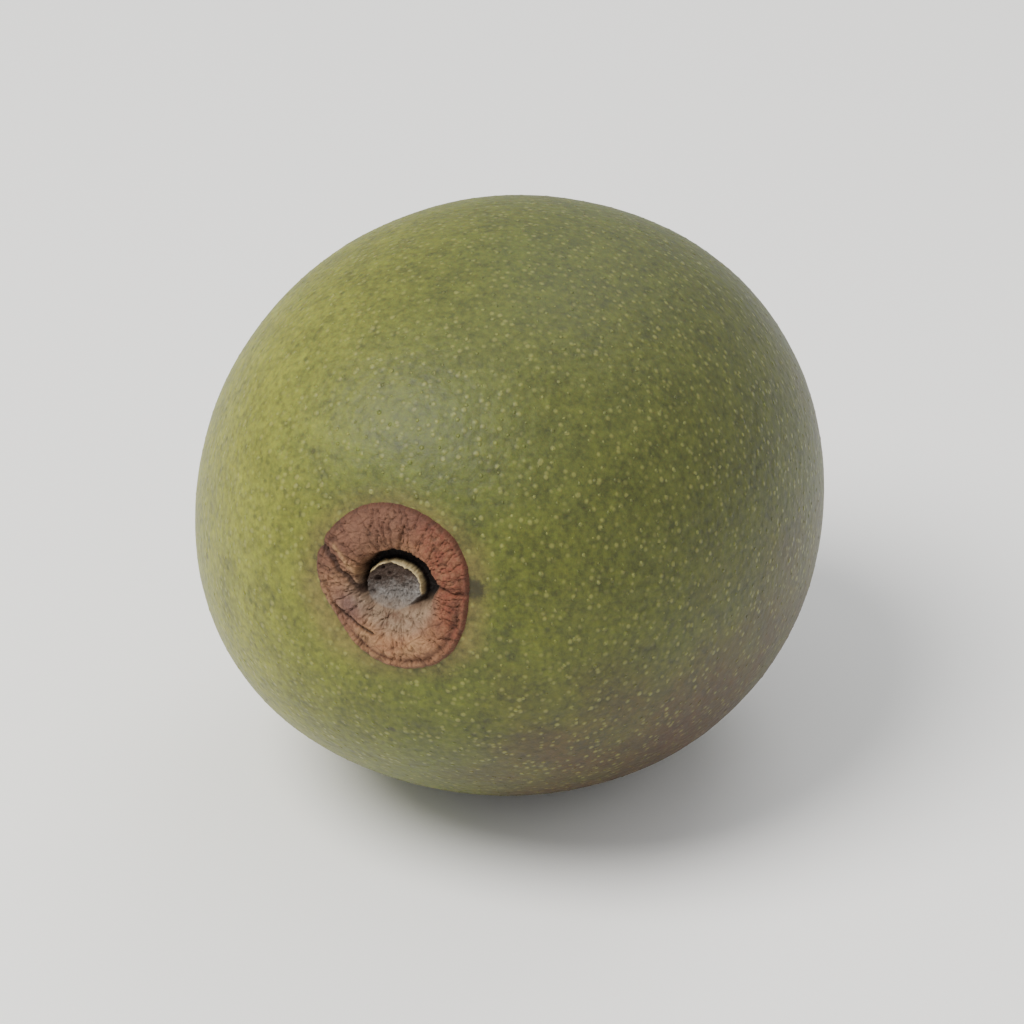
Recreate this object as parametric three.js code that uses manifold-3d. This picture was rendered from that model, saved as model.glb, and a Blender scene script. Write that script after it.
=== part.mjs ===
// A smooth-skinned kiwi fruit lying on its side, resting on a small flat spot.
// Millimetres, +Z up. The stem end faces -Y and is tipped up a little, the blossom end faces +Y.
// The origin is on the resting surface, below the middle of the fruit's box.
import * as THREE from "three";
import { mergeVertices } from "three/addons/utils/BufferGeometryUtils.js";
import Module from "manifold-3d";

// Size of the whole fruit, along and across its own axis
const fruitLength = 40.2;
const fruitWidth = 33.6;
const fruitHeight = 32.2;
const stemLiftDegrees = 12;
const restDepth = 0.5; // how much of the belly the flat spot takes off

// Form of the outline
const outlinePower = 0.85; // 1 gives an ellipse, less gives fuller shoulders
const blossomWeight = 0.03; // how much the blossom half is fatter than the stem half
const crownPinch = 0.035; // how much the top is narrower than the belly
const squareness = 0.016; // how far the section bulges out towards its four corners

// Stem end: a shallow basin, in it a raised corky ring around the pit the stem came out of
const basin = { radius: 7.5, depth: 0.9 };
const corkRing = { radius: 3.1, halfWidth: 1.1, height: 0.45 };
const stemPit = { radius: 2.1, depth: 1.3 };

// Blossom end: a shallow dimple, in it the small nub that the flower left
const dimple = { radius: 4.2, depth: 0.7 };
const nub = { radius: 1.1, height: 0.9 };

// Fineness of the faces
const ringCount = 42;
const sectorCount = 64;
const poleCrowding = 0.62; // 0 spaces the rings evenly, towards 1 crowds them at the two ends

// A smooth hump of height 1 that has faded away at about twice its half width
function hump(distance, halfWidth) {
  return Math.exp(-((distance / halfWidth) ** 2));
}

// Height of the stem end's relief above the plain outline, at a distance from the axis
function stemRelief(radius) {
  const ring = corkRing.height * hump(radius - corkRing.radius, corkRing.halfWidth);
  const pit = stemPit.depth / (1 + (radius / stemPit.radius) ** 8);
  return ring - basin.depth * hump(radius, basin.radius) - pit;
}

// The same for the blossom end
function blossomRelief(radius) {
  return nub.height * hump(radius, nub.radius) - dimple.depth * hump(radius, dimple.radius);
}

// One point of the outline: x is its distance from the axis, y its place along the axis
function outlinePoint(share) {
  const crowding = (poleCrowding * Math.sin(2 * Math.PI * share)) / (2 * Math.PI);
  const angle = Math.PI * (share - crowding);
  const radius = (fruitWidth / 2) * Math.sin(angle) ** outlinePower;
  const weight = 1 - blossomWeight * Math.cos(angle);
  const place = (-fruitLength / 2) * Math.cos(angle);
  const relief = place < 0 ? -stemRelief(radius) : blossomRelief(radius);
  return new THREE.Vector2(radius * weight, place + relief);
}

// The outline runs from the stem pole to the blossom pole, and both ends lie on the axis
function fruitOutline() {
  const points = [];
  for (let ring = 0; ring <= ringCount; ring++) {
    points.push(outlinePoint(ring / ringCount));
  }
  points[0].x = 0;
  points[ringCount].x = 0;
  return points;
}

// The turned body is pressed a little square and flatter, and its upper half is drawn in
function pressSection(geometry) {
  const position = geometry.attributes.position;
  for (let index = 0; index < position.count; index++) {
    const turn = Math.atan2(position.getZ(index), position.getX(index));
    const bulge = 1 + (squareness * (1 - Math.cos(4 * turn))) / 2;
    const height = position.getZ(index) * bulge * (fruitHeight / fruitWidth);
    const pinch = 1 - crownPinch * (height / (fruitHeight / 2));
    position.setX(index, position.getX(index) * bulge * pinch);
    position.setZ(index, height);
  }
}

// Moves the fruit over the origin and sinks it by the depth of its flat spot
function layDown(geometry) {
  geometry.rotateX(THREE.MathUtils.degToRad(-stemLiftDegrees));
  geometry.computeBoundingBox();
  const middle = geometry.boundingBox.getCenter(new THREE.Vector3());
  geometry.translate(-middle.x, -middle.y, -geometry.boundingBox.min.z - restDepth);
}

// A solid from a closed geometry, and back
const wasm = await Module();
wasm.setup();

function toSolid(geometry) {
  const bare = geometry.clone();
  bare.deleteAttribute("normal");
  bare.deleteAttribute("uv");
  const merged = mergeVertices(bare);
  const vertProperties = new Float32Array(merged.attributes.position.array);
  const triVerts = new Uint32Array(merged.index.array);
  return new wasm.Manifold(new wasm.Mesh({ numProp: 3, vertProperties, triVerts }));
}

function toGeometry(solid) {
  const mesh = solid.getMesh();
  const geometry = new THREE.BufferGeometry();
  geometry.setAttribute("position", new THREE.BufferAttribute(mesh.vertProperties, 3));
  geometry.setIndex(new THREE.BufferAttribute(mesh.triVerts, 1));
  geometry.computeVertexNormals();
  return geometry;
}

// The block of space below the resting surface, which cuts the flat spot
function spaceBelow() {
  const depth = 4 * restDepth;
  const block = new THREE.BoxGeometry(fruitLength, fruitLength, depth);
  block.translate(0, 0, -depth / 2);
  return block;
}

function fruitGeometry() {
  const body = new THREE.LatheGeometry(fruitOutline(), sectorCount);
  pressSection(body);
  layDown(body);
  return toGeometry(toSolid(body).subtract(toSolid(spaceBelow())));
}

const skinMaterial = new THREE.MeshStandardMaterial({
  color: 0x8a8b4c,
  roughness: 0.5,
  metalness: 0,
});

const fruit = new THREE.Mesh(fruitGeometry(), skinMaterial);
fruit.name = "kiwi_fruit";

const kiwi = new THREE.Group();
kiwi.add(fruit);

export default kiwi;
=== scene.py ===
import math
import bpy
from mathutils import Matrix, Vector


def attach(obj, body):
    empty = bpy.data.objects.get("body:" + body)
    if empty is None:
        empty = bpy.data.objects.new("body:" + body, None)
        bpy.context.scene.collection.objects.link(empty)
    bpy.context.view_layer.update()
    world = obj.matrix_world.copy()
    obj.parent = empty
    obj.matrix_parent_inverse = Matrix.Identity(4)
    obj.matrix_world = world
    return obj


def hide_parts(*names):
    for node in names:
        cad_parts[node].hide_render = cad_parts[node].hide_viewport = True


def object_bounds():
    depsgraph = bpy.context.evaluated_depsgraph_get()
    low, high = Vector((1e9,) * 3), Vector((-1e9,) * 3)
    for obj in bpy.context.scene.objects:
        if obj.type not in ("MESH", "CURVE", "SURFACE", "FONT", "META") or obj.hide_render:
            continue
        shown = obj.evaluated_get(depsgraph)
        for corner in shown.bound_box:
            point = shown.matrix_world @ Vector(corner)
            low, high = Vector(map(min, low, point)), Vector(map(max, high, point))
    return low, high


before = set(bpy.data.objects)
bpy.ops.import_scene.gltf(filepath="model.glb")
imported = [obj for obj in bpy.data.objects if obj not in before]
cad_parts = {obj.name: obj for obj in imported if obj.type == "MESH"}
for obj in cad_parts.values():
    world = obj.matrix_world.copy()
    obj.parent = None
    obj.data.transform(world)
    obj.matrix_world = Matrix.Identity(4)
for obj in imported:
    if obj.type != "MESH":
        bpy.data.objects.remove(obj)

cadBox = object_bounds()
mm = 0.001
print("kiwi: frame loaded")


# a socket that can be used in a sum: each + - * / adds its own maths node
class Wire:
    def __init__(self, bench, socket):
        self.bench = bench
        self.socket = socket

    def __add__(self, other):
        return self.bench.maths("ADD", self, other)

    def __radd__(self, other):
        return self.bench.maths("ADD", other, self)

    def __sub__(self, other):
        return self.bench.maths("SUBTRACT", self, other)

    def __rsub__(self, other):
        return self.bench.maths("SUBTRACT", other, self)

    def __mul__(self, other):
        return self.bench.maths("MULTIPLY", self, other)

    def __rmul__(self, other):
        return self.bench.maths("MULTIPLY", other, self)

    def __truediv__(self, other):
        return self.bench.maths("DIVIDE", self, other)

    def __rtruediv__(self, other):
        return self.bench.maths("DIVIDE", other, self)

    def __neg__(self):
        return self.bench.maths("MULTIPLY", self, -1.0)


socketKinds = {int: "NodeSocketInt", float: "NodeSocketFloat", tuple: "NodeSocketVector"}


# a node tree with short ways to add the nodes used here; it lays them out in columns
class Bench:
    rowsPerColumn = 9
    columnWidth = 190
    rowHeight = 170

    def __init__(self, tree):
        self.tree = tree
        self.count = 0

    def node(self, kind, settings=None, **feeds):
        node = self.tree.nodes.new(kind)
        column, row = divmod(self.count, self.rowsPerColumn)
        node.location = (column * self.columnWidth, -row * self.rowHeight)
        self.count += 1
        for name, value in (settings or {}).items():
            setattr(node, name, value)
        for name, value in feeds.items():
            self.feed(node.inputs[name.replace("_", " ")], value)
        return node

    def feed(self, socket, value):
        if isinstance(value, Wire):
            self.tree.links.new(value.socket, socket)
        else:
            socket.default_value = value

    def out(self, node, name=0):
        return Wire(self, node.outputs[name])

    def maths(self, operation, *values):
        node = self.node("ShaderNodeMath", {"operation": operation})
        for socket, value in zip(node.inputs, values):
            self.feed(socket, value)
        return self.out(node)

    def vectors(self, operation, *values, scale=None):
        node = self.node("ShaderNodeVectorMath", {"operation": operation})
        for socket, value in zip(node.inputs, values):
            self.feed(socket, value)
        if scale is not None:
            self.feed(node.inputs["Scale"], scale)
        isNumber = operation in ("LENGTH", "DISTANCE", "DOT_PRODUCT")
        return self.out(node, "Value" if isNumber else "Vector")

    def combine(self, x, y, z):
        return self.out(self.node("ShaderNodeCombineXYZ", X=x, Y=y, Z=z))

    def separate(self, vector):
        node = self.node("ShaderNodeSeparateXYZ", Vector=vector)
        return [self.out(node, axis) for axis in range(3)]

    # 0 below low, 1 above high, smooth in between; low may be above high
    def rise(self, value, low, high):
        node = self.node("ShaderNodeMapRange", {"interpolation_type": "SMOOTHSTEP"})
        flipped = isinstance(low, (int, float)) and low > high
        self.feed(node.inputs["Value"], value)
        self.feed(node.inputs["From Min"], high if flipped else low)
        self.feed(node.inputs["From Max"], low if flipped else high)
        self.feed(node.inputs["To Min"], 1.0 if flipped else 0.0)
        self.feed(node.inputs["To Max"], 0.0 if flipped else 1.0)
        return self.out(node)

    # a smooth hump of height 1, faded away at about twice its half width
    def hump(self, distance, halfWidth):
        share = distance / halfWidth
        return self.maths("EXPONENT", -(share * share))

    # noise between about -1 and 1, with features of the given size
    def noise(self, place, size, detail=2.0, roughness=0.5, shift=0.0):
        moved = self.vectors("ADD", place, (shift, shift * 0.7, -shift))
        node = self.node(
            "ShaderNodeTexNoise", Vector=moved, Scale=1 / size, Detail=detail, Roughness=roughness
        )
        return (self.out(node, 0) - 0.5) * 2.0

    def cells(self, place, size, feature="F1", randomness=1.0):
        return self.node(
            "ShaderNodeTexVoronoi", {"feature": feature},
            Vector=place, Scale=1 / size, Randomness=randomness,
        )

    def mix(self, amount, first, second):
        node = self.node("ShaderNodeMix", {"data_type": "RGBA"})
        self.feed(node.inputs[0], amount)
        self.feed(node.inputs[6], first)
        self.feed(node.inputs[7], second)
        return self.out(node, 2)

    def shapeInputs(self, sizes):
        for name, value in sizes.items():
            kind = socketKinds[type(value)]
            socket = self.tree.interface.new_socket(name=name, in_out="INPUT", socket_type=kind)
            socket.default_value = value
        source = self.node("NodeGroupInput")
        return {name: self.out(source, name) for name in sizes}

    def keep(self, geometry, name, value, kind="FLOAT", domain="POINT"):
        settings = {"data_type": kind, "domain": domain}
        node = self.node("GeometryNodeStoreNamedAttribute", settings, Geometry=geometry, Name=name)
        self.feed(node.inputs["Value"], value)
        return self.out(node)

    def place(self):
        return self.out(self.node("GeometryNodeInputPosition"))

    def normal(self):
        return self.out(self.node("GeometryNodeInputNormal"))

    def moveTo(self, geometry, position):
        return self.out(self.node("GeometryNodeSetPosition", Geometry=geometry, Position=position))

    def moveBy(self, geometry, offset):
        return self.out(self.node("GeometryNodeSetPosition", Geometry=geometry, Offset=offset))

    def finishShape(self, geometry, material):
        smooth = self.out(self.node("GeometryNodeSetShadeSmooth", Geometry=geometry))
        real = self.out(self.node("GeometryNodeRealizeInstances", Geometry=smooth))
        self.tree.interface.new_socket(
            name="Geometry", in_out="OUTPUT", socket_type="NodeSocketGeometry"
        )
        done = self.node("GeometryNodeSetMaterial", Geometry=real)
        done.inputs["Material"].default_value = material
        end = self.node("NodeGroupOutput")
        self.tree.links.new(done.outputs[0], end.inputs[0])


def inputNamed(bench, name, kind="FLOAT"):
    return bench.out(bench.node("GeometryNodeInputNamedAttribute", {"data_type": kind}, Name=name))


def shapeBench(name):
    return Bench(bpy.data.node_groups.new(name, "GeometryNodeTree"))


# runs a tree on an empty mesh with its sizes, and keeps the result as a plain mesh
def makePiece(name, tree, sizes):
    piece = bpy.data.objects.new(name, bpy.data.meshes.new(name))
    bpy.context.scene.collection.objects.link(piece)
    modifier = piece.modifiers.new("shape", "NODES")
    modifier.node_group = tree
    for socket in tree.interface.items_tree:
        if socket.in_out == "INPUT" and socket.name in sizes:
            modifier[socket.identifier] = sizes[socket.name]
    depsgraph = bpy.context.evaluated_depsgraph_get()
    plain = bpy.data.meshes.new_from_object(piece.evaluated_get(depsgraph))
    piece.modifiers.clear()
    piece.data = plain
    plain.name = name
    return piece


def srgb(red, green, blue):
    def toLinear(value):
        share = value / 255
        return share / 12.92 if share <= 0.04045 else ((share + 0.055) / 1.055) ** 2.4

    return (toLinear(red), toLinear(green), toLinear(blue), 1.0)


# the fruit's own form, shared by every piece on it
fruitForm = {
    "Length": 40.2 * mm,
    "Width": 33.6 * mm,
    "Height": 32.2 * mm,
    "Outline Power": 0.85,  # 1 is an ellipse, less has fuller shoulders
    "Blossom Weight": 0.03,
    "Crown Pinch": 0.035,
    "Squareness": 0.016,
    "Stem Lift": math.radians(12),
    "Rest Depth": 0.5 * mm,
    "Basin Radius": 7.5 * mm,
    "Basin Depth": 0.9 * mm,
    "Dimple Radius": 4.2 * mm,
    "Dimple Depth": 0.7 * mm,
}


# presses the turned section a little square and flatter, and draws its crown in
def pressSection(bench, form, side, along, up):
    turn = bench.maths("ARCTAN2", up, side)
    bulge = (1.0 - bench.maths("COSINE", turn * 4.0)) * form["Squareness"] * 0.5 + 1.0
    height = up * bulge * (form["Height"] / form["Width"])
    pinch = 1.0 - height * form["Crown Pinch"] * 2.0 / form["Height"]
    return bench.combine(side * bulge * pinch, along, height)


def tipUp(bench, form, vector):
    side, along, up = bench.separate(vector)
    cosine = bench.maths("COSINE", form["Stem Lift"])
    sine = bench.maths("SINE", form["Stem Lift"])
    return bench.combine(side, along * cosine + up * sine, up * cosine - along * sine)


# distance from the axis and place along it, for an angle from the stem pole given by its cosine
def outline(bench, form, cosine):
    sine = bench.maths("SQRT", bench.maths("MAXIMUM", 1.0 - cosine * cosine, 1e-9))
    radius = bench.maths("POWER", sine, form["Outline Power"]) * form["Width"] * 0.5
    along = cosine * form["Length"] * -0.5
    return radius, along


# how far the whole fruit is moved after it is tipped: over the origin, down on its flat spot
def layDown(bench, form, geometry):
    box = bench.node("GeometryNodeBoundBox", Geometry=geometry)
    low = bench.out(box, "Min")
    high = bench.out(box, "Max")
    middle = bench.vectors("SCALE", bench.vectors("ADD", low, high), scale=0.5)
    middleX, middleY, _ = bench.separate(middle)
    lowest = bench.separate(low)[2]
    return bench.combine(-middleX, -middleY, -lowest - form["Rest Depth"])


skinSizes = {
    "Fineness": 126,  # points along each edge of the starting cube
    "Scar Recess": 2.7 * mm,  # the skin drops away under the stem scar
    "Recess Depth": 2.2 * mm,
    "Nub Ring Radius": 2.25 * mm,
    "Nub Ring Height": 0.22 * mm,
    "Nub Ring Width": 0.4 * mm,
    "Unevenness": 0.11 * mm,
    "Unevenness Size": 16 * mm,
    "Dents": 0.05 * mm,
    "Dent Size": 6 * mm,
    "Leather Grain": 0.016 * mm,
    "Leather Size": 1.3 * mm,
    "Leather Cell": 1.1 * mm,
    "End Wrinkles": 0.035 * mm,
    "Wrinkle Count": 34.0,
    "Rest Softness": 0.25 * mm,
}


# a closed ball of even squares is pulled to the outline, tipped, laid down and given its relief
def fruitSkinTree(material):
    bench = shapeBench("fruitSkin")
    form = bench.shapeInputs({**fruitForm, **skinSizes})
    fine = form["Fineness"]
    cube = bench.node(
        "GeometryNodeMeshCube", Size=(2, 2, 2), Vertices_X=fine, Vertices_Y=fine, Vertices_Z=fine
    )
    even = [bench.maths("TANGENT", axis * (math.pi / 4)) for axis in bench.separate(bench.place())]
    towards = bench.vectors("NORMALIZE", bench.combine(*even))
    side, along, up = bench.separate(towards)
    away = bench.maths("SQRT", bench.maths("MAXIMUM", side * side + up * up, 1e-12))

    cosine = -along  # 1 at the stem pole, -1 at the blossom pole
    radius, place = outline(bench, form, cosine)
    atStem = bench.maths("GREATER_THAN", cosine, 0.0)
    basin = form["Basin Depth"] * bench.hump(radius, form["Basin Radius"])
    recess = form["Recess Depth"] / (bench.maths("POWER", radius / form["Scar Recess"], 10.0) + 1.0)
    dimple = form["Dimple Depth"] * bench.hump(radius, form["Dimple Radius"])
    nubRing = bench.hump(radius - form["Nub Ring Radius"], form["Nub Ring Width"]) * form["Nub Ring Height"]
    place = place + atStem * (basin + recess) - (1.0 - atStem) * (dimple - nubRing)
    thick = radius * (1.0 - cosine * form["Blossom Weight"])
    shaped = pressSection(bench, form, side / away * thick, place, up / away * thick)
    tipped = tipUp(bench, form, shaped)

    geometry = bench.out(cube)
    geometry = bench.keep(geometry, "poleCosine", cosine)
    geometry = bench.keep(geometry, "poleAway", radius)
    geometry = bench.keep(geometry, "turn", bench.maths("ARCTAN2", up, side))
    geometry = bench.moveTo(geometry, tipped)
    restOffset = layDown(bench, form, geometry)
    geometry = bench.keep(geometry, "restOffset", restOffset, "FLOAT_VECTOR")
    geometry = bench.moveBy(geometry, inputNamed(bench, "restOffset", "FLOAT_VECTOR"))

    # relief along the skin: broad unevenness, shallow dents, leather grain, wrinkles at both ends
    spot = bench.place()
    broad = bench.noise(spot, form["Unevenness Size"], 1.0) * form["Unevenness"]
    dents = bench.noise(spot, form["Dent Size"], 2.0, 0.5, 0.31) * form["Dents"]
    cellWall = bench.out(bench.cells(spot, form["Leather Cell"], "SMOOTH_F1"), "Distance")
    leather = bench.noise(spot, form["Leather Size"], 3.0, 0.6, 0.12) - cellWall
    grain = leather * form["Leather Grain"]
    poleAway = inputNamed(bench, "poleAway")
    poleTurn = inputNamed(bench, "turn")
    wobble = bench.noise(spot, 2.2 * mm, 2.0, 0.5, 0.5)
    waves = bench.maths("SINE", poleTurn * form["Wrinkle Count"] + wobble * 3.0)
    waves = waves * bench.noise(spot, 3 * mm, 1.0, 0.5, 0.8)
    nearPole = bench.rise(poleAway, 8.5 * mm, 4.0 * mm) * bench.rise(poleAway, 1.5 * mm, 3.2 * mm)
    relief = broad + dents + grain + waves * nearPole * form["End Wrinkles"]
    geometry = bench.moveBy(geometry, bench.vectors("SCALE", bench.normal(), scale=relief))

    # the flat spot that the fruit rests on
    side, along, up = bench.separate(bench.place())
    rested = bench.maths("SMOOTH_MAX", up, 0.0, form["Rest Softness"])
    geometry = bench.moveTo(geometry, bench.combine(side, along, rested))
    bench.finishShape(geometry, material)
    return bench.tree


# the corky scar that the stem left
scarSizes = {
    "Rings": 190,
    "Sectors": 380,
    "Scar Radius": 4.4 * mm,
    "Visible Share": 0.9,  # the share of rings on the outer face, the rest close the back
    "Thickness": 2.6 * mm,
    "Crest Height": 0.42 * mm,
    "Edge Drop": 0.33 * mm,
    "Pit Width": 2.1 * mm,
    "Pit Height": 1.65 * mm,
    "Pit Depth": 1.5 * mm,
    "Stub Width": 1.62 * mm,
    "Stub Height": 1.28 * mm,
    "Stub Rise": 0.85 * mm,
    "Rim Height": 0.34 * mm,
    "Cork Grain": 0.075 * mm,
    "Grain Size": 0.34 * mm,
    "Fissures": 0.11 * mm,
    "Fissure Size": 0.55 * mm,
    "Flake Size": 0.62 * mm,
    "Flake Gap": 0.025 * mm,
    "Gash Depth": 0.3 * mm,
    "Flap Height": 0.12 * mm,
    "Lip Height": 0.07 * mm,
    "Groove Depth": 0.09 * mm,
    "Inner Slope": 0.24 * mm,
    "Dish Depth": 0.3 * mm,
    "Hole Depth": 0.25 * mm,
    "Stub Roughness": 0.2 * mm,
    "Stub Lumps": 0.3 * mm,
}
# waves in its outline: how many round it, and the angle and size of each
scarWaves = {1.0: (31, 0.04), 2.0: (-55, 0.062), 3.0: (46, 0.034), 5.0: (32, 0.014)}
# gashes and one raised flap across its face, in mm: start, end and half width
scarGashes = {
    "main": ((-4.1, 1.75), (-1.75, -0.6), 0.2),
    "top": ((0.55, 3.3), (0.1, 1.6), 0.1),
    "low": ((-2.9, -1.6), (-0.9, -2.75), 0.13),
    "right": ((2.2, 0.4), (3.9, 0.1), 0.1),
    "flap": ((-3.2, 1.75), (-1.65, 0.15), 0.12),
}
gashStrengths = {"main": 1.0, "top": 0.5, "low": 0.8, "right": 0.7}


# a gash between two points of the scar's face: 1 on its line, 0 beside it
def gash(bench, side, up, name):
    start, end, halfWidth = scarGashes[name]
    start = [value * mm for value in start]
    end = [value * mm for value in end]
    runX = end[0] - start[0]
    runY = end[1] - start[1]
    length = math.hypot(runX, runY)
    fromX = side - start[0]
    fromY = up - start[1]
    along = (fromX * runX + fromY * runY) / length
    across = (fromY * runX - fromX * runY) / length
    before = bench.maths("MINIMUM", along, 0.0)
    past = bench.maths("MAXIMUM", along - length, 0.0)
    distance = bench.maths("SQRT", across * across + before * before + past * past)
    return bench.hump(distance, halfWidth * mm)


def stemScarTree(material, sizes):
    bench = shapeBench("stemScar")
    form = bench.shapeInputs(sizes)
    ball = bench.node("GeometryNodeMeshUVSphere", Segments=form["Sectors"], Rings=form["Rings"], Radius=1.0)
    ballX, ballY, ballZ = bench.separate(bench.place())
    share = bench.maths("ARCCOSINE", ballZ) / math.pi
    turn = bench.maths("ARCTAN2", ballY, ballX)

    # rounded five-sided outline, drawn in at the lower left
    def wave(count, peak):
        return bench.maths("COSINE", (turn - math.radians(peak)) * count)

    edge = 1.0
    for count, (peak, size) in scarWaves.items():
        edge = edge + wave(count, peak) * size
    ringPlace = bench.combine(bench.maths("COSINE", turn), bench.maths("SINE", turn), 0.0)
    edge = edge + bench.noise(ringPlace, 0.22, 3.0, 0.6) * 0.018
    front = bench.maths("MINIMUM", share / form["Visible Share"], 1.0)
    back = bench.rise(share, form["Visible Share"], 1.0)
    radius = front * (1.0 - back) * edge * form["Scar Radius"]
    side = radius * bench.maths("COSINE", turn)
    up = radius * bench.maths("SINE", turn)
    spot = bench.combine(side, up, 0.0)

    # pit and the stub of the stem's core in it, both a little off the middle
    warp = bench.noise(spot, 0.8 * mm, 3.0, 0.6, 0.4) * 0.16
    pitX = (side - 0.2 * mm) / form["Pit Width"]
    pitY = (up - 0.15 * mm) / form["Pit Height"]
    pitShare = bench.maths("SQRT", pitX * pitX + pitY * pitY) + warp
    stubX = (side + 0.12 * mm) / form["Stub Width"]
    stubY = (up + 0.12 * mm) / form["Stub Height"]
    stubShare = bench.maths("SQRT", stubX * stubX + stubY * stubY) + warp * 0.7
    pit = bench.rise(pitShare, 1.12, 0.9)
    stub = bench.rise(stubShare, 1.04, 0.88)
    rimTop = bench.rise(up + side * 0.25, -0.5 * mm, 0.35 * mm)
    rimTorn = bench.rise(bench.noise(spot, 0.7 * mm, 2.0, 0.6, 0.9), -0.75, 0.1)
    rim = bench.hump(stubShare - 0.94, 0.055) * rimTop * rimTorn

    # ring: a crest two thirds out, sloping into the pit and down to the skin
    crest = bench.hump(front - 0.74, 0.26) * form["Crest Height"]
    lip = bench.hump(front - 0.93, 0.035) * form["Lip Height"]
    lowerSide = bench.rise(up, 1.5 * mm, -1.5 * mm)
    groove = bench.hump(front - 0.865, 0.03) * lowerSide * form["Groove Depth"]
    drop = bench.rise(front, 0.93, 1.0) * form["Edge Drop"]
    slope = bench.rise(front, 0.62, 0.36) * form["Inner Slope"]

    # cork: flakes, grains and fissures that run from the pit outwards
    outwards = bench.combine(turn * 2.6 * mm, front * 1.1 * mm, 0.0)
    fissure = bench.noise(outwards, form["Fissure Size"], 3.0, 0.6, 0.21)
    fissures = bench.rise(bench.maths("ABSOLUTE", fissure), 0.09, 0.0)
    flakes = bench.out(bench.cells(spot, form["Flake Size"], "DISTANCE_TO_EDGE"), "Distance")
    flakeGap = bench.rise(flakes, 0.12, 0.0)
    grains = bench.noise(spot, form["Grain Size"], 4.0, 0.65, 0.6)
    gashX = side + bench.noise(spot, 1.1 * mm, 3.0, 0.6, 1.7) * 0.3 * mm
    gashY = up + bench.noise(spot, 1.1 * mm, 3.0, 0.6, 2.9) * 0.3 * mm
    flap = gash(bench, gashX, gashY, "flap")
    cracks = 0.0
    for name, strength in gashStrengths.items():
        cracks = bench.maths("MAXIMUM", cracks, gash(bench, gashX, gashY, name) * strength)

    onRing = (1.0 - pit) * (1.0 - back)
    cork = grains * form["Cork Grain"] - flakeGap * form["Flake Gap"] - fissures * form["Fissures"]
    height = crest + lip - groove - drop - slope
    height = height + flap * form["Flap Height"] - cracks * form["Gash Depth"]
    height = height + cork * (bench.rise(front, 1.0, 0.9) * 0.8 + 0.2)
    dish = bench.hump(stubShare, 0.75) * form["Dish Depth"]
    bundles = bench.out(bench.cells(spot, form["Flake Size"]), "Distance")
    holes = bench.rise(bundles, 0.36, 0.14) * bench.rise(stubShare, 0.95, 0.75)
    lumps = bench.noise(spot, 0.7 * mm, 3.0, 0.65, 1.9)
    stubTop = form["Stub Rise"] - dish - holes * form["Hole Depth"]
    stubTop = stubTop + grains * form["Stub Roughness"] + lumps * form["Stub Lumps"]
    floor = -form["Pit Depth"] + stub * stubTop + rim * form["Rim Height"]
    leanIn = bench.rise(up, -0.3 * mm, -1.3 * mm) * bench.rise(pitShare, 0.5, 0.95)
    floor = floor * (1.0 - leanIn) + (grains * 0.15 - 0.45) * mm * leanIn
    height = height * (1.0 - pit) + floor * pit
    height = height * (1.0 - back) - back * form["Thickness"]

    # the scar sits in the basin at the stem pole, on the same tipped axis as the skin
    flare = radius * (form["Blossom Weight"] + 1.0) / (form["Width"] * 0.5)
    flare = bench.maths("POWER", flare, 1.0 / form["Outline Power"])
    level = bench.maths("SQRT", 1.0 - flare * flare) * form["Length"] * -0.5
    level = level + form["Basin Depth"] * bench.hump(radius, form["Basin Radius"])
    tipped = tipUp(bench, form, bench.combine(side, level - height, up))

    geometry = bench.out(ball)
    for name, value in {
        "ringShare": front, "pit": pit, "stub": stub, "rim": rim, "stubShare": stubShare,
        "crack": bench.maths("MAXIMUM", cracks, fissures * 0.6 * onRing), "gap": flakeGap,
        "hole": holes, "pale": flap,
    }.items():
        geometry = bench.keep(geometry, name, value)
    geometry = bench.keep(geometry, "flatPlace", spot, "FLOAT_VECTOR")
    geometry = bench.moveTo(geometry, tipped)
    geometry = bench.moveBy(geometry, form["Rest Offset"])
    bench.finishShape(geometry, material)
    return bench.tree


# the small nub that the flower left at the far end
nubSizes = {
    "Rings": 90,
    "Sectors": 180,
    "Nub Radius": 1.6 * mm,
    "Visible Share": 0.85,
    "Thickness": 1.2 * mm,
    "Nub Height": 0.75 * mm,
    "Nub Wrinkles": 0.07 * mm,
    "Style Pit": 0.25 * mm,
    "Fold Count": 11.0,
    "Nub Grain": 0.05 * mm,
    "Nub Sink": 0.15 * mm,
}


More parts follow.
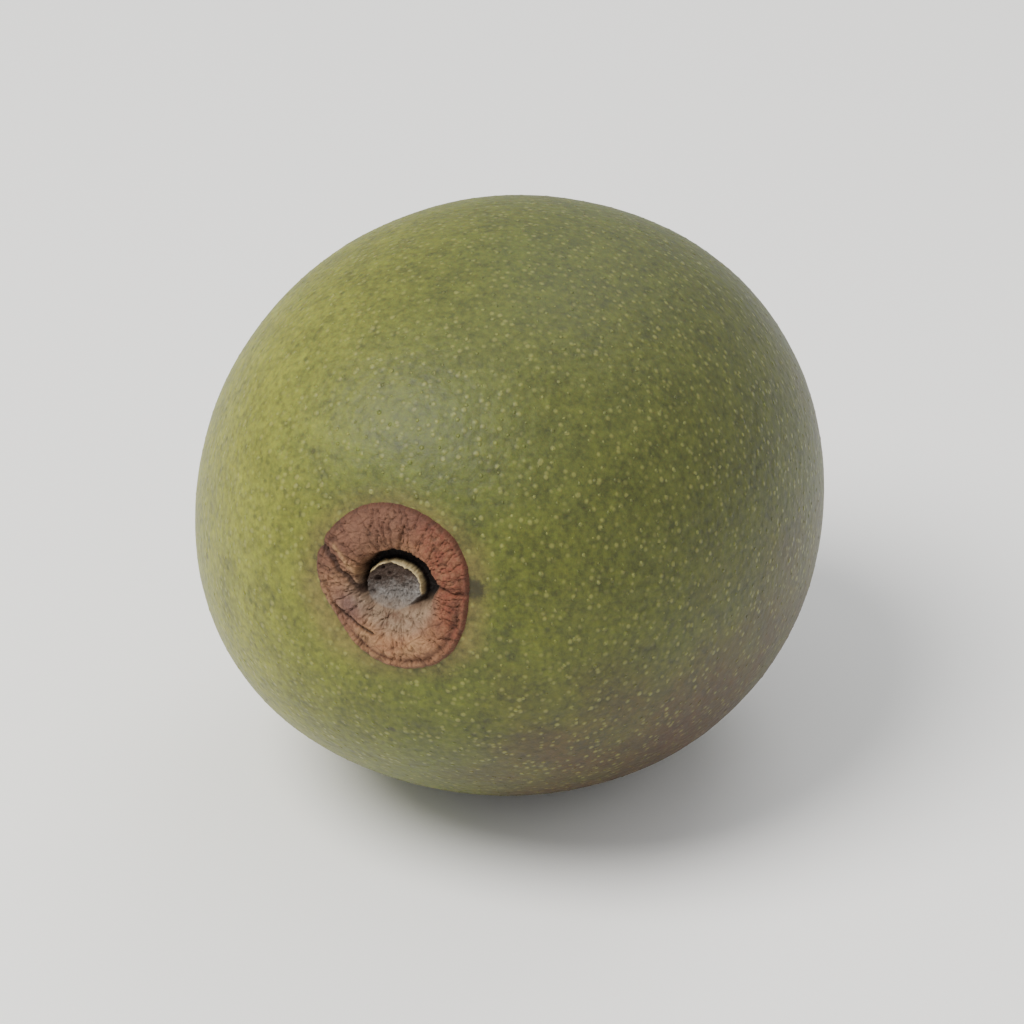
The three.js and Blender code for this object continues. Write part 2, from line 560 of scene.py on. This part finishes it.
def blossomNubTree(material, sizes):
    bench = shapeBench("blossomNub")
    form = bench.shapeInputs(sizes)
    ball = bench.node("GeometryNodeMeshUVSphere", Segments=form["Sectors"], Rings=form["Rings"], Radius=1.0)
    ballX, ballY, ballZ = bench.separate(bench.place())
    share = bench.maths("ARCCOSINE", ballZ) / math.pi
    turn = bench.maths("ARCTAN2", ballY, ballX)
    ringPlace = bench.combine(bench.maths("COSINE", turn), bench.maths("SINE", turn), 0.0)
    edge = 1.0 + bench.noise(ringPlace, 0.9, 2.0, 0.5, 1.3) * 0.12
    front = bench.maths("MINIMUM", share / form["Visible Share"], 1.0)
    back = bench.rise(share, form["Visible Share"], 1.0)
    radius = front * (1.0 - back) * edge * form["Nub Radius"]
    side = radius * bench.maths("COSINE", turn)
    up = radius * bench.maths("SINE", turn)
    spot = bench.combine(side, up, 0.0)

    dome = bench.rise(front, 1.0, 0.45) * form["Nub Height"]
    folds = bench.maths("SINE", turn * form["Fold Count"] + bench.noise(spot, 0.7 * mm, 2.0) * 2.5)
    wrinkles = folds * bench.hump(front - 0.62, 0.3) * form["Nub Wrinkles"]
    grains = bench.noise(spot, 0.22 * mm, 3.0, 0.6) * form["Nub Grain"]
    pit = bench.rise(front, 0.3, 0.1) * form["Style Pit"]
    height = dome + wrinkles + grains - pit - form["Nub Sink"]
    height = height * (1.0 - back) - back * form["Thickness"]
    dimple = form["Dimple Depth"] * bench.hump(radius, form["Dimple Radius"])
    pole = form["Length"] * 0.5 - dimple
    tipped = tipUp(bench, form, bench.combine(-side, pole + height, up))

    geometry = bench.out(ball)
    geometry = bench.keep(geometry, "nubShare", front)
    geometry = bench.keep(geometry, "fold", folds)
    geometry = bench.keep(geometry, "flatPlace", spot, "FLOAT_VECTOR")
    geometry = bench.moveTo(geometry, tipped)
    geometry = bench.moveBy(geometry, form["Rest Offset"])
    bench.finishShape(geometry, material)
    return bench.tree


# pale raised lenticels scattered over the skin, each a small flattened ball sunk into it
lenticelSizes = {
    "Spacing": 0.7 * mm,
    "Dot Radius": 0.12 * mm,
    "Dot Height": 0.03 * mm,
    "Sink": 0.012 * mm,
    "Smallest": 0.4,
    "Largest": 1.25,
    "Scar Clearance": 5.2 * mm,
    "Nub Clearance": 2.6 * mm,
    "Floor Clearance": 0.25 * mm,
    "Seed": 11,
}
mostPerArea = 4.0e6  # more than the spacing lets in, for each square metre


def lenticelTree(skin, material):
    bench = shapeBench("lenticels")
    form = bench.shapeInputs(lenticelSizes)
    source = bench.node("GeometryNodeObjectInfo")
    source.inputs["Object"].default_value = skin
    skinMesh = bench.out(source, "Geometry")
    _, _, up = bench.separate(bench.place())
    poleAway = inputNamed(bench, "poleAway")
    poleCosine = inputNamed(bench, "poleCosine")
    offScar = bench.maths("GREATER_THAN", poleAway, form["Scar Clearance"])
    offNub = bench.maths("GREATER_THAN", poleAway, form["Nub Clearance"])
    offNub = offNub * bench.maths("LESS_THAN", poleCosine, 0.0)
    offFlat = bench.maths("GREATER_THAN", up, form["Floor Clearance"])
    keepHere = bench.maths("MAXIMUM", offScar, offNub) * offFlat
    scatter = bench.node(
        "GeometryNodeDistributePointsOnFaces", {"distribute_method": "POISSON"},
        Mesh=skinMesh, Distance_Min=form["Spacing"], Density_Max=mostPerArea,
        Density_Factor=keepHere, Seed=form["Seed"],
    )
    points = bench.out(scatter, "Points")
    turned = bench.out(scatter, "Rotation")

    # one dome: a small flattened ball, sunk a little into the skin
    disc = bench.node("GeometryNodeMeshUVSphere", Segments=6, Rings=3, Radius=1.0)
    discX, discY, discZ = bench.separate(bench.place())
    flatX = discX * form["Dot Radius"]
    flatY = discY * form["Dot Radius"]
    flatZ = discZ * form["Dot Height"] - form["Sink"]
    dome = bench.keep(bench.out(disc), "crest", bench.rise(discZ, 0.1, 0.95))
    dome = bench.moveTo(dome, bench.combine(flatX, flatY, flatZ))

    size = bench.node("FunctionNodeRandomValue", {"data_type": "FLOAT"}, Seed=form["Seed"])
    bench.feed(size.inputs[2], form["Smallest"])
    bench.feed(size.inputs[3], form["Largest"])
    stretch = bench.node("FunctionNodeRandomValue", {"data_type": "FLOAT_VECTOR"}, Seed=3)
    bench.feed(stretch.inputs[0], (0.75, 0.75, 0.8))
    bench.feed(stretch.inputs[1], (1.3, 1.3, 1.1))
    scale = bench.vectors("SCALE", bench.out(stretch, 0), scale=bench.out(size, 1))
    placed = bench.node(
        "GeometryNodeInstanceOnPoints", Points=points, Instance=dome, Rotation=turned, Scale=scale
    )
    geometry = bench.out(placed)
    faint = bench.node("FunctionNodeRandomValue", {"data_type": "FLOAT"}, Seed=29)
    geometry = bench.keep(geometry, "paleness", bench.out(faint, 1), "FLOAT", "INSTANCE")
    bench.finishShape(geometry, material)
    return bench.tree


# an empty material and the bench that fills it
def finishBench(name):
    material = bpy.data.materials.new(name)
    material.use_nodes = True
    material.node_tree.nodes.clear()
    bench = Bench(material.node_tree)
    return material, bench


# joins a colour, a roughness and a height to the shader; what is the same all over is set on it
def finishSurface(bench, color, roughness, height, bumpDistance, fixed):
    shader = bench.node("ShaderNodeBsdfPrincipled")
    for name, value in fixed.items():
        shader.inputs[name].default_value = value
    bench.feed(shader.inputs["Base Color"], color)
    bench.feed(shader.inputs["Roughness"], roughness)
    bump = bench.node("ShaderNodeBump", Strength=1.0, Distance=bumpDistance)
    bench.feed(bump.inputs["Height"], height)
    bench.feed(shader.inputs["Normal"], bench.out(bump))
    end = bench.node("ShaderNodeOutputMaterial")
    bench.tree.links.new(shader.outputs[0], end.inputs["Surface"])


def attribute(bench, name, output="Fac"):
    node = bench.node("ShaderNodeAttribute", {"attribute_name": name})
    return bench.out(node, output)


skinColors = {
    "olive": srgb(77, 82, 20),
    # lighter yellow-green for the painted light on the left side
    "litYellowGreen": srgb(120, 122, 36),
    "deepGreen": srgb(52, 64, 13),
    # darker grey olive for the painted shade on the right side
    "shadedGreyOlive": srgb(60, 62, 26),
    # brown of the blush, darkened to stand in for shade as well
    "brownBlushAndShade": srgb(58, 35, 19),
    "purple": srgb(66, 36, 42),
    "fleck": srgb(142, 141, 72),
    "pore": srgb(46, 50, 14),
    "speck": srgb(40, 34, 14),
    # pale grey of the waxy bloom and the painted sheen
    "bloomAndSheen": srgb(108, 114, 82),
    "scarHalo": srgb(112, 90, 54),
}
skinPattern = {
    "broad": 13 * mm,
    "drift": 5 * mm,
    "mottle": 1.5 * mm,
    "fine": 0.36 * mm,
    "poreSpacing": 0.46 * mm,
    "fleckSpacing": 0.4 * mm,
    "speckSpacing": 2.3 * mm,
    "netSize": 0.5 * mm,
    "haloRadius": 3.5 * mm,
    "haloWidth": 1.6 * mm,
    "darkMarkRadius": 4.55 * mm,
    "darkMarkWidth": 0.62 * mm,
    "bumpDepth": 0.08 * mm,
}


def kiwiSkinFinish():
    material, bench = finishBench("kiwiSkin")
    spot = bench.out(bench.node("ShaderNodeTexCoord"), "Object")
    side, along, up = bench.separate(spot)
    sideShare = side / (fruitForm["Width"] / 2)
    alongShare = along / (fruitForm["Length"] / 2)
    upShare = up / (fruitForm["Height"] / 2) - 1.0
    poleAway = attribute(bench, "poleAway")
    poleCosine = attribute(bench, "poleCosine")
    atStem = bench.rise(poleCosine, 0.0, 0.3)
    atBlossom = bench.rise(poleCosine, 0.0, -0.3)
    colors = skinColors

    # broad colour: painted light makes the left yellower and lighter, greener in the middle, painted shade
    # makes the right and the back greyer and darker
    broad = bench.noise(spot, skinPattern["broad"], 2.0, 0.5)
    drift = bench.noise(spot, skinPattern["drift"], 3.0, 0.55, 0.7)
    # painted light: lighter and yellower towards the left
    litLeftness = bench.rise(-sideShare + broad * 0.35 + drift * 0.15, -0.15, 1.05)
    color = bench.mix(litLeftness, colors["olive"], colors["litYellowGreen"])
    offMiddle = bench.maths("ABSOLUTE", sideShare - 0.1)
    greenness = bench.rise(broad * 0.8 + drift * 0.5 - offMiddle * 0.6, -0.35, 0.55)
    color = bench.mix(greenness * 0.55, color, colors["deepGreen"])
    # painted shade: greyer and darker towards the right and higher up
    shadedRightness = bench.rise(sideShare * 0.8 + upShare * 0.35 + drift * 0.2, 0.15, 1.0)
    color = bench.mix(shadedRightness * 0.55, color, colors["shadedGreyOlive"])

    # brown blush on the lower right, darkened there by painted shade, and in a soft patch at the back,
    # purple round the blossom end
    # lower right: real brown blush with painted shade over it
    blushAndShadeSpread = sideShare * 0.8 - upShare * 0.65 + broad * 0.75 + drift * 0.45
    color = bench.mix(bench.rise(blushAndShadeSpread, 0.3, 1.2) * 0.92, color, colors["brownBlushAndShade"])
    backPatch = bench.noise(spot, 9 * mm, 2.0, 0.5, 2.4) + alongShare * 0.35
    color = bench.mix(bench.rise(backPatch, 0.3, 0.9) * 0.45, color, colors["brownBlushAndShade"])
    haloWobble = bench.noise(spot, 2.6 * mm, 3.0, 0.6, 1.1) * 2.4 * mm
    haloPatch = bench.rise(bench.noise(spot, 3.2 * mm, 2.0, 0.5, 3.3), -0.55, 0.4)
    haloOut = poleAway + haloWobble - skinPattern["haloRadius"]
    halo = bench.hump(haloOut, skinPattern["haloWidth"]) * atBlossom * haloPatch
    color = bench.mix(halo * 0.85, color, colors["purple"])
    stemHalo = bench.rise(poleAway + haloWobble * 0.3, 6.2 * mm, 4.2 * mm) * atStem
    color = bench.mix(stemHalo * 0.45, color, colors["scarHalo"])

    # mottling in three sizes
    mottle = bench.noise(spot, skinPattern["mottle"], 3.0, 0.6, 0.2)
    fine = bench.noise(spot, skinPattern["fine"], 3.0, 0.65, 0.9)
    tone = mottle * 0.56 + fine * 0.95 + drift * 0.24 + 1.0
    toned = bench.out(bench.node("ShaderNodeHueSaturation", Value=tone, Color=color))

    # dark pores and pale flecks between the raised lenticels, each cell with its own strength
    poreCells = bench.cells(spot, skinPattern["poreSpacing"])
    poreChance = bench.separate(bench.out(poreCells, "Color"))[2]
    pore = bench.rise(bench.out(poreCells, "Distance") + fine * 0.3, 0.5, 0.12)
    pore = pore * bench.rise(poreChance, 0.3, 1.0)
    color = bench.mix(pore * 0.5, toned, colors["pore"])
    fleckCells = bench.cells(spot, skinPattern["fleckSpacing"])
    fleckChance = bench.separate(bench.out(fleckCells, "Color"))[0]
    fleck = bench.rise(bench.out(fleckCells, "Distance") + fine * 0.3, 0.46, 0.1)
    fleck = fleck * bench.rise(fleckChance, 0.15, 1.0)
    color = bench.mix(fleck * 0.5, color, colors["fleck"])
    paleness = attribute(bench, "paleness")
    crest = attribute(bench, "crest") * (paleness * paleness * 0.75 + 0.12)
    color = bench.mix(crest * 0.7, color, colors["fleck"])

    # dark pin-prick specks, rare, and one dark patch beside the scar
    speckCells = bench.cells(spot, skinPattern["speckSpacing"])
    speckChance = bench.separate(bench.out(speckCells, "Color"))[1]
    speck = bench.rise(bench.out(speckCells, "Distance"), 0.11, 0.05)
    speck = speck * bench.rise(speckChance, 0.62, 0.7)
    color = bench.mix(speck * 0.65, color, colors["speck"])
    # a dark patch on the skin beside the scar
    darkMarkOut = poleAway + (fine + mottle) * 0.45 * mm - skinPattern["darkMarkRadius"]
    darkMarkOut = bench.hump(darkMarkOut, skinPattern["darkMarkWidth"])
    darkMark = darkMarkOut * bench.hump(attribute(bench, "turn") + mottle * 0.12 - 0.13, 0.15)
    color = bench.mix(bench.rise(darkMark, 0.05, 0.75) * atStem * 0.88, color, colors["speck"])

    # waxy bloom with a painted sheen that greys the crown
    bloomAndSheen = bench.rise(upShare + drift * 0.4 - alongShare * 0.2, 0.0, 1.1)
    # painted sheen: a pale grey veil over the top, partly real waxy bloom
    color = bench.mix(bloomAndSheen * 0.09, color, colors["bloomAndSheen"])

    net = bench.out(bench.cells(spot, skinPattern["netSize"], "SMOOTH_F1"), "Distance")
    roughness = fine * 0.06 + mottle * 0.04 - fleck * 0.05 + bloomAndSheen * 0.06 + 0.5
    height = net * -0.6 + fine * 0.25 + fleck * 0.35
    fixed = {"Specular IOR Level": 0.36, "Subsurface Weight": 0.08, "Subsurface Scale": 0.0012}
    finishSurface(bench, color, roughness, height, skinPattern["bumpDepth"], fixed)
    return material


corkColors = {
    "salmon": srgb(134, 92, 65),
    "tan": srgb(152, 119, 83),
    "redBrown": srgb(104, 47, 34),
    "mauve": srgb(91, 60, 49),
    "purpleGrey": srgb(87, 69, 69),
    "greyTan": srgb(130, 112, 92),
    # dark brown painted shade for cracks, fissures and sunk holes
    "crack": srgb(43, 26, 20),
    "edge": srgb(76, 46, 34),
    "stub": srgb(60, 46, 37),
    "stubGrey": srgb(123, 120, 116),
    # near-black painted shade for the pit's wall
    "pitShade": srgb(23, 16, 11),
    "rim": srgb(185, 167, 125),
}
corkPattern = {
    "patch": 1.6 * mm,
    "grain": 0.3 * mm,
    "thread": 0.13 * mm,
    "stain": 0.75 * mm,
    "bumpDepth": 0.06 * mm,
}


def corkFinish():
    material, bench = finishBench("corkScar")
    colors = corkColors
    spot = attribute(bench, "flatPlace", "Vector")
    side, up, _ = bench.separate(spot)
    ringShare = attribute(bench, "ringShare")
    pit = attribute(bench, "pit")
    stub = attribute(bench, "stub")
    stubShare = attribute(bench, "stubShare")
    rim = attribute(bench, "rim")
    crack = attribute(bench, "crack")
    gap = attribute(bench, "gap")
    hole = attribute(bench, "hole")
    pale = attribute(bench, "pale")

    patch = bench.noise(spot, corkPattern["patch"], 3.0, 0.6, 0.2)
    grain = bench.noise(spot, corkPattern["grain"], 4.0, 0.7, 0.5)
    thread = bench.noise(spot, corkPattern["thread"], 3.0, 0.7, 0.8)
    color = bench.mix(bench.rise(patch + grain * 0.6, -0.5, 0.7), colors["salmon"], colors["tan"])
    toRight = bench.rise(side + up * 0.35 + patch * 0.8 * mm, 0.9 * mm, 3.0 * mm)
    color = bench.mix(toRight * bench.rise(grain, -0.9, 0.5) * 0.95, color, colors["redBrown"])
    toUpperLeft = bench.rise(up - side * 0.6 + patch * 0.7 * mm, 0.9 * mm, 3.4 * mm)
    color = bench.mix(toUpperLeft * 0.75, color, colors["mauve"])
    lowLeft = bench.hump(bench.vectors("DISTANCE", spot, (-2.1 * mm, -1.2 * mm, 0)), 1.1 * mm)
    color = bench.mix(lowLeft * 0.75, color, colors["purpleGrey"])
    innerSlope = bench.rise(ringShare + patch * 0.05, 0.66, 0.45) * bench.rise(up, 0.6 * mm, -0.8 * mm)
    color = bench.mix(innerSlope * 0.8, color, colors["greyTan"])
    outer = bench.hump(ringShare - 0.975 + patch * 0.02, 0.05)
    color = bench.mix(outer * 0.8, color, colors["edge"])
    stain = bench.noise(spot, corkPattern["stain"], 4.0, 0.65, 1.7)
    color = bench.mix(bench.rise(stain + grain * 0.6, -0.15, 0.5) * 0.62, color, colors["edge"])
    ringLine = bench.hump(ringShare - 0.86 + patch * 0.03 + grain * 0.02, 0.038)
    ringLine = ringLine * bench.rise(up - side * 0.2, 1.6 * mm, -1.2 * mm)
    color = bench.mix(ringLine * bench.rise(patch, -0.5, 0.3) * 0.85, color, colors["edge"])

    # painted shade in the flake gaps, then in the cracks and fissures
    color = bench.mix(gap * 0.16, color, colors["edge"])
    color = bench.mix(bench.rise(crack, 0.25, 0.85) * 0.8, color, colors["crack"])
    color = bench.mix(pale * 0.6, color, colors["tan"])

    # pit: painted shade on its wall, grey-brown stub with vascular dots, cream rim
    leanIn = bench.rise(up, -0.3 * mm, -1.3 * mm)
    # painted shade darkens the pit's wall, less on the lower slope
    color = bench.mix(pit * (1.0 - leanIn * 0.8), color, colors["pitShade"])
    greyness = bench.rise(grain * 0.8 + side / mm * 0.15 - up / mm * 0.7, -0.45, 1.1)
    stubColor = bench.mix(greyness, colors["stub"], colors["stubGrey"])
    # painted shade in the stub's sunk holes
    stubColor = bench.mix(hole * 0.85, stubColor, colors["crack"])
    color = bench.mix(stub * (1.0 - leanIn * 0.6), color, stubColor)
    onRim = bench.rise(rim, 0.25, 0.8) * bench.rise(stubShare, 1.12, 1.0)
    color = bench.mix(onRim, color, colors["rim"])
    tone = grain * 0.45 + thread * 0.45 + 1.0
    toned = bench.out(bench.node("ShaderNodeHueSaturation", Value=tone, Color=color))

    roughness = grain * 0.08 + 0.72
    height = grain * 0.7 + thread * 0.6 - gap * 0.5
    fixed = {"Specular IOR Level": 0.3}
    finishSurface(bench, toned, roughness, height, corkPattern["bumpDepth"], fixed)
    return material


nubColors = {
    "pale": srgb(144, 134, 92),
    "green": srgb(108, 107, 64),
    "fold": srgb(85, 66, 43),
    "styleEnd": srgb(54, 38, 25),
}
nubGrain = 0.25 * mm
nubBump = 0.05 * mm


def nubFinish():
    material, bench = finishBench("blossomNub")
    spot = attribute(bench, "flatPlace", "Vector")
    share = attribute(bench, "nubShare")
    fold = attribute(bench, "fold")
    grain = bench.noise(spot, nubGrain, 4.0, 0.65)
    color = bench.mix(bench.rise(share + grain * 0.1, 0.5, 0.95), nubColors["pale"], nubColors["green"])
    inFold = bench.rise(fold, 0.1, -0.9) * bench.rise(share, 0.2, 0.5)
    color = bench.mix(inFold * 0.6, color, nubColors["fold"])
    color = bench.mix(bench.rise(share + grain * 0.06, 0.3, 0.12) * 0.85, color, nubColors["styleEnd"])
    toned = bench.out(bench.node("ShaderNodeHueSaturation", Value=grain * 0.2 + 1.0, Color=color))
    fixed = {"Specular IOR Level": 0.35}
    finishSurface(bench, toned, grain * 0.06 + 0.66, grain, nubBump, fixed)
    return material


# pale floor, soft lights and the camera
stage = {
    "floorSize": 3.0,
    "floorColor": srgb(250, 249, 246),
    "floorRoughness": 0.7,
    "worldColor": srgb(236, 238, 240),
    "worldStrength": 0.75,
}
lights = {
    "keyLight": {
        "azimuth": -35, "elevation": 55, "distance": 0.45, "size": 0.26, "power": 3.0,
        "color": (1.0, 0.98, 0.95),
    },
    "fillLight": {
        "azimuth": 70, "elevation": 30, "distance": 0.5, "size": 0.35, "power": 0.2,
        "color": (0.95, 0.98, 1.0),
    },
    "backLight": {
        "azimuth": 170, "elevation": 50, "distance": 0.5, "size": 0.3, "power": 0.6,
        "color": (1.0, 1.0, 1.0),
    },
}
camera = {
    "azimuth": 19.0,
    "elevation": 28.0,
    "distance": 0.28,
    "lens": 178.0,
    "aimAbove": 14.8 * mm,
}


def makeFloor():
    half = stage["floorSize"] / 2
    mesh = bpy.data.meshes.new("floor")
    corners = [(-half, -half, 0), (half, -half, 0), (half, half, 0), (-half, half, 0)]
    mesh.from_pydata(corners, [], [(0, 1, 2, 3)])
    floor = bpy.data.objects.new("floor", mesh)
    bpy.context.scene.collection.objects.link(floor)
    material, bench = finishBench("paleFloor")
    shader = bench.node("ShaderNodeBsdfPrincipled")
    shader.inputs["Base Color"].default_value = stage["floorColor"]
    shader.inputs["Roughness"].default_value = stage["floorRoughness"]
    end = bench.node("ShaderNodeOutputMaterial")
    bench.tree.links.new(shader.outputs[0], end.inputs["Surface"])
    mesh.materials.append(material)


def fromAround(azimuth, elevation, distance):
    turn = math.radians(azimuth)
    rise = math.radians(elevation)
    flat = math.cos(rise) * distance
    return Vector((math.sin(turn) * flat, -math.cos(turn) * flat, math.sin(rise) * distance))


def addSoftLight(name, azimuth, elevation, distance, size, power, color):
    light = bpy.data.lights.new(name, "AREA")
    light.shape = "DISK"
    light.size = size
    light.energy = power
    light.color = color
    lamp = bpy.data.objects.new(name, light)
    lamp.location = aim + fromAround(azimuth, elevation, distance)
    lamp.rotation_euler = (aim - lamp.location).to_track_quat("-Z", "Y").to_euler()
    bpy.context.scene.collection.objects.link(lamp)


def makeWorld():
    world = bpy.data.worlds.new("softRoom")
    world.use_nodes = True
    background = world.node_tree.nodes["Background"]
    background.inputs["Color"].default_value = stage["worldColor"]
    background.inputs["Strength"].default_value = stage["worldStrength"]
    bpy.context.scene.world = world


def makeCamera():
    data = bpy.data.cameras.new("camera")
    data.lens = camera["lens"]
    data.clip_start = 0.01
    eye = bpy.data.objects.new("camera", data)
    eye.location = aim + fromAround(camera["azimuth"], camera["elevation"], camera["distance"])
    eye.rotation_euler = (aim - eye.location).to_track_quat("-Z", "Y").to_euler()
    bpy.context.scene.collection.objects.link(eye)
    bpy.context.scene.camera = eye


low, high = cadBox
aim = Vector(((low.x + high.x) / 2, (low.y + high.y) / 2, camera["aimAbove"]))
makeFloor()
makeWorld()
makeCamera()
for name, light in lights.items():
    addSoftLight(name, **light)
print("kiwi: floor, lights and camera")

skinMaterial = kiwiSkinFinish()
corkMaterial = corkFinish()
nubMaterial = nubFinish()
print("kiwi: finishes")

skin = makePiece("fruitSkin", fruitSkinTree(skinMaterial), {**fruitForm, **skinSizes})
restOffset = tuple(skin.data.attributes["restOffset"].data[0].vector)
skin.data.attributes.remove(skin.data.attributes["restOffset"])
print("kiwi: skin,", len(skin.data.polygons), "faces")

scarAll = {**fruitForm, **scarSizes, "Rest Offset": restOffset}
scar = makePiece("stemScar", stemScarTree(corkMaterial, scarAll), scarAll)
print("kiwi: stem scar,", len(scar.data.polygons), "faces")

nubAll = {**fruitForm, **nubSizes, "Rest Offset": restOffset}
nub = makePiece("blossomNub", blossomNubTree(nubMaterial, nubAll), nubAll)
print("kiwi: blossom nub,", len(nub.data.polygons), "faces")

lenticels = makePiece("lenticels", lenticelTree(skin, skinMaterial), lenticelSizes)
print("kiwi: lenticels,", len(lenticels.data.polygons), "faces")

for piece in (skin, scar, nub, lenticels):
    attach(piece, "root")
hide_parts("kiwi_fruit")
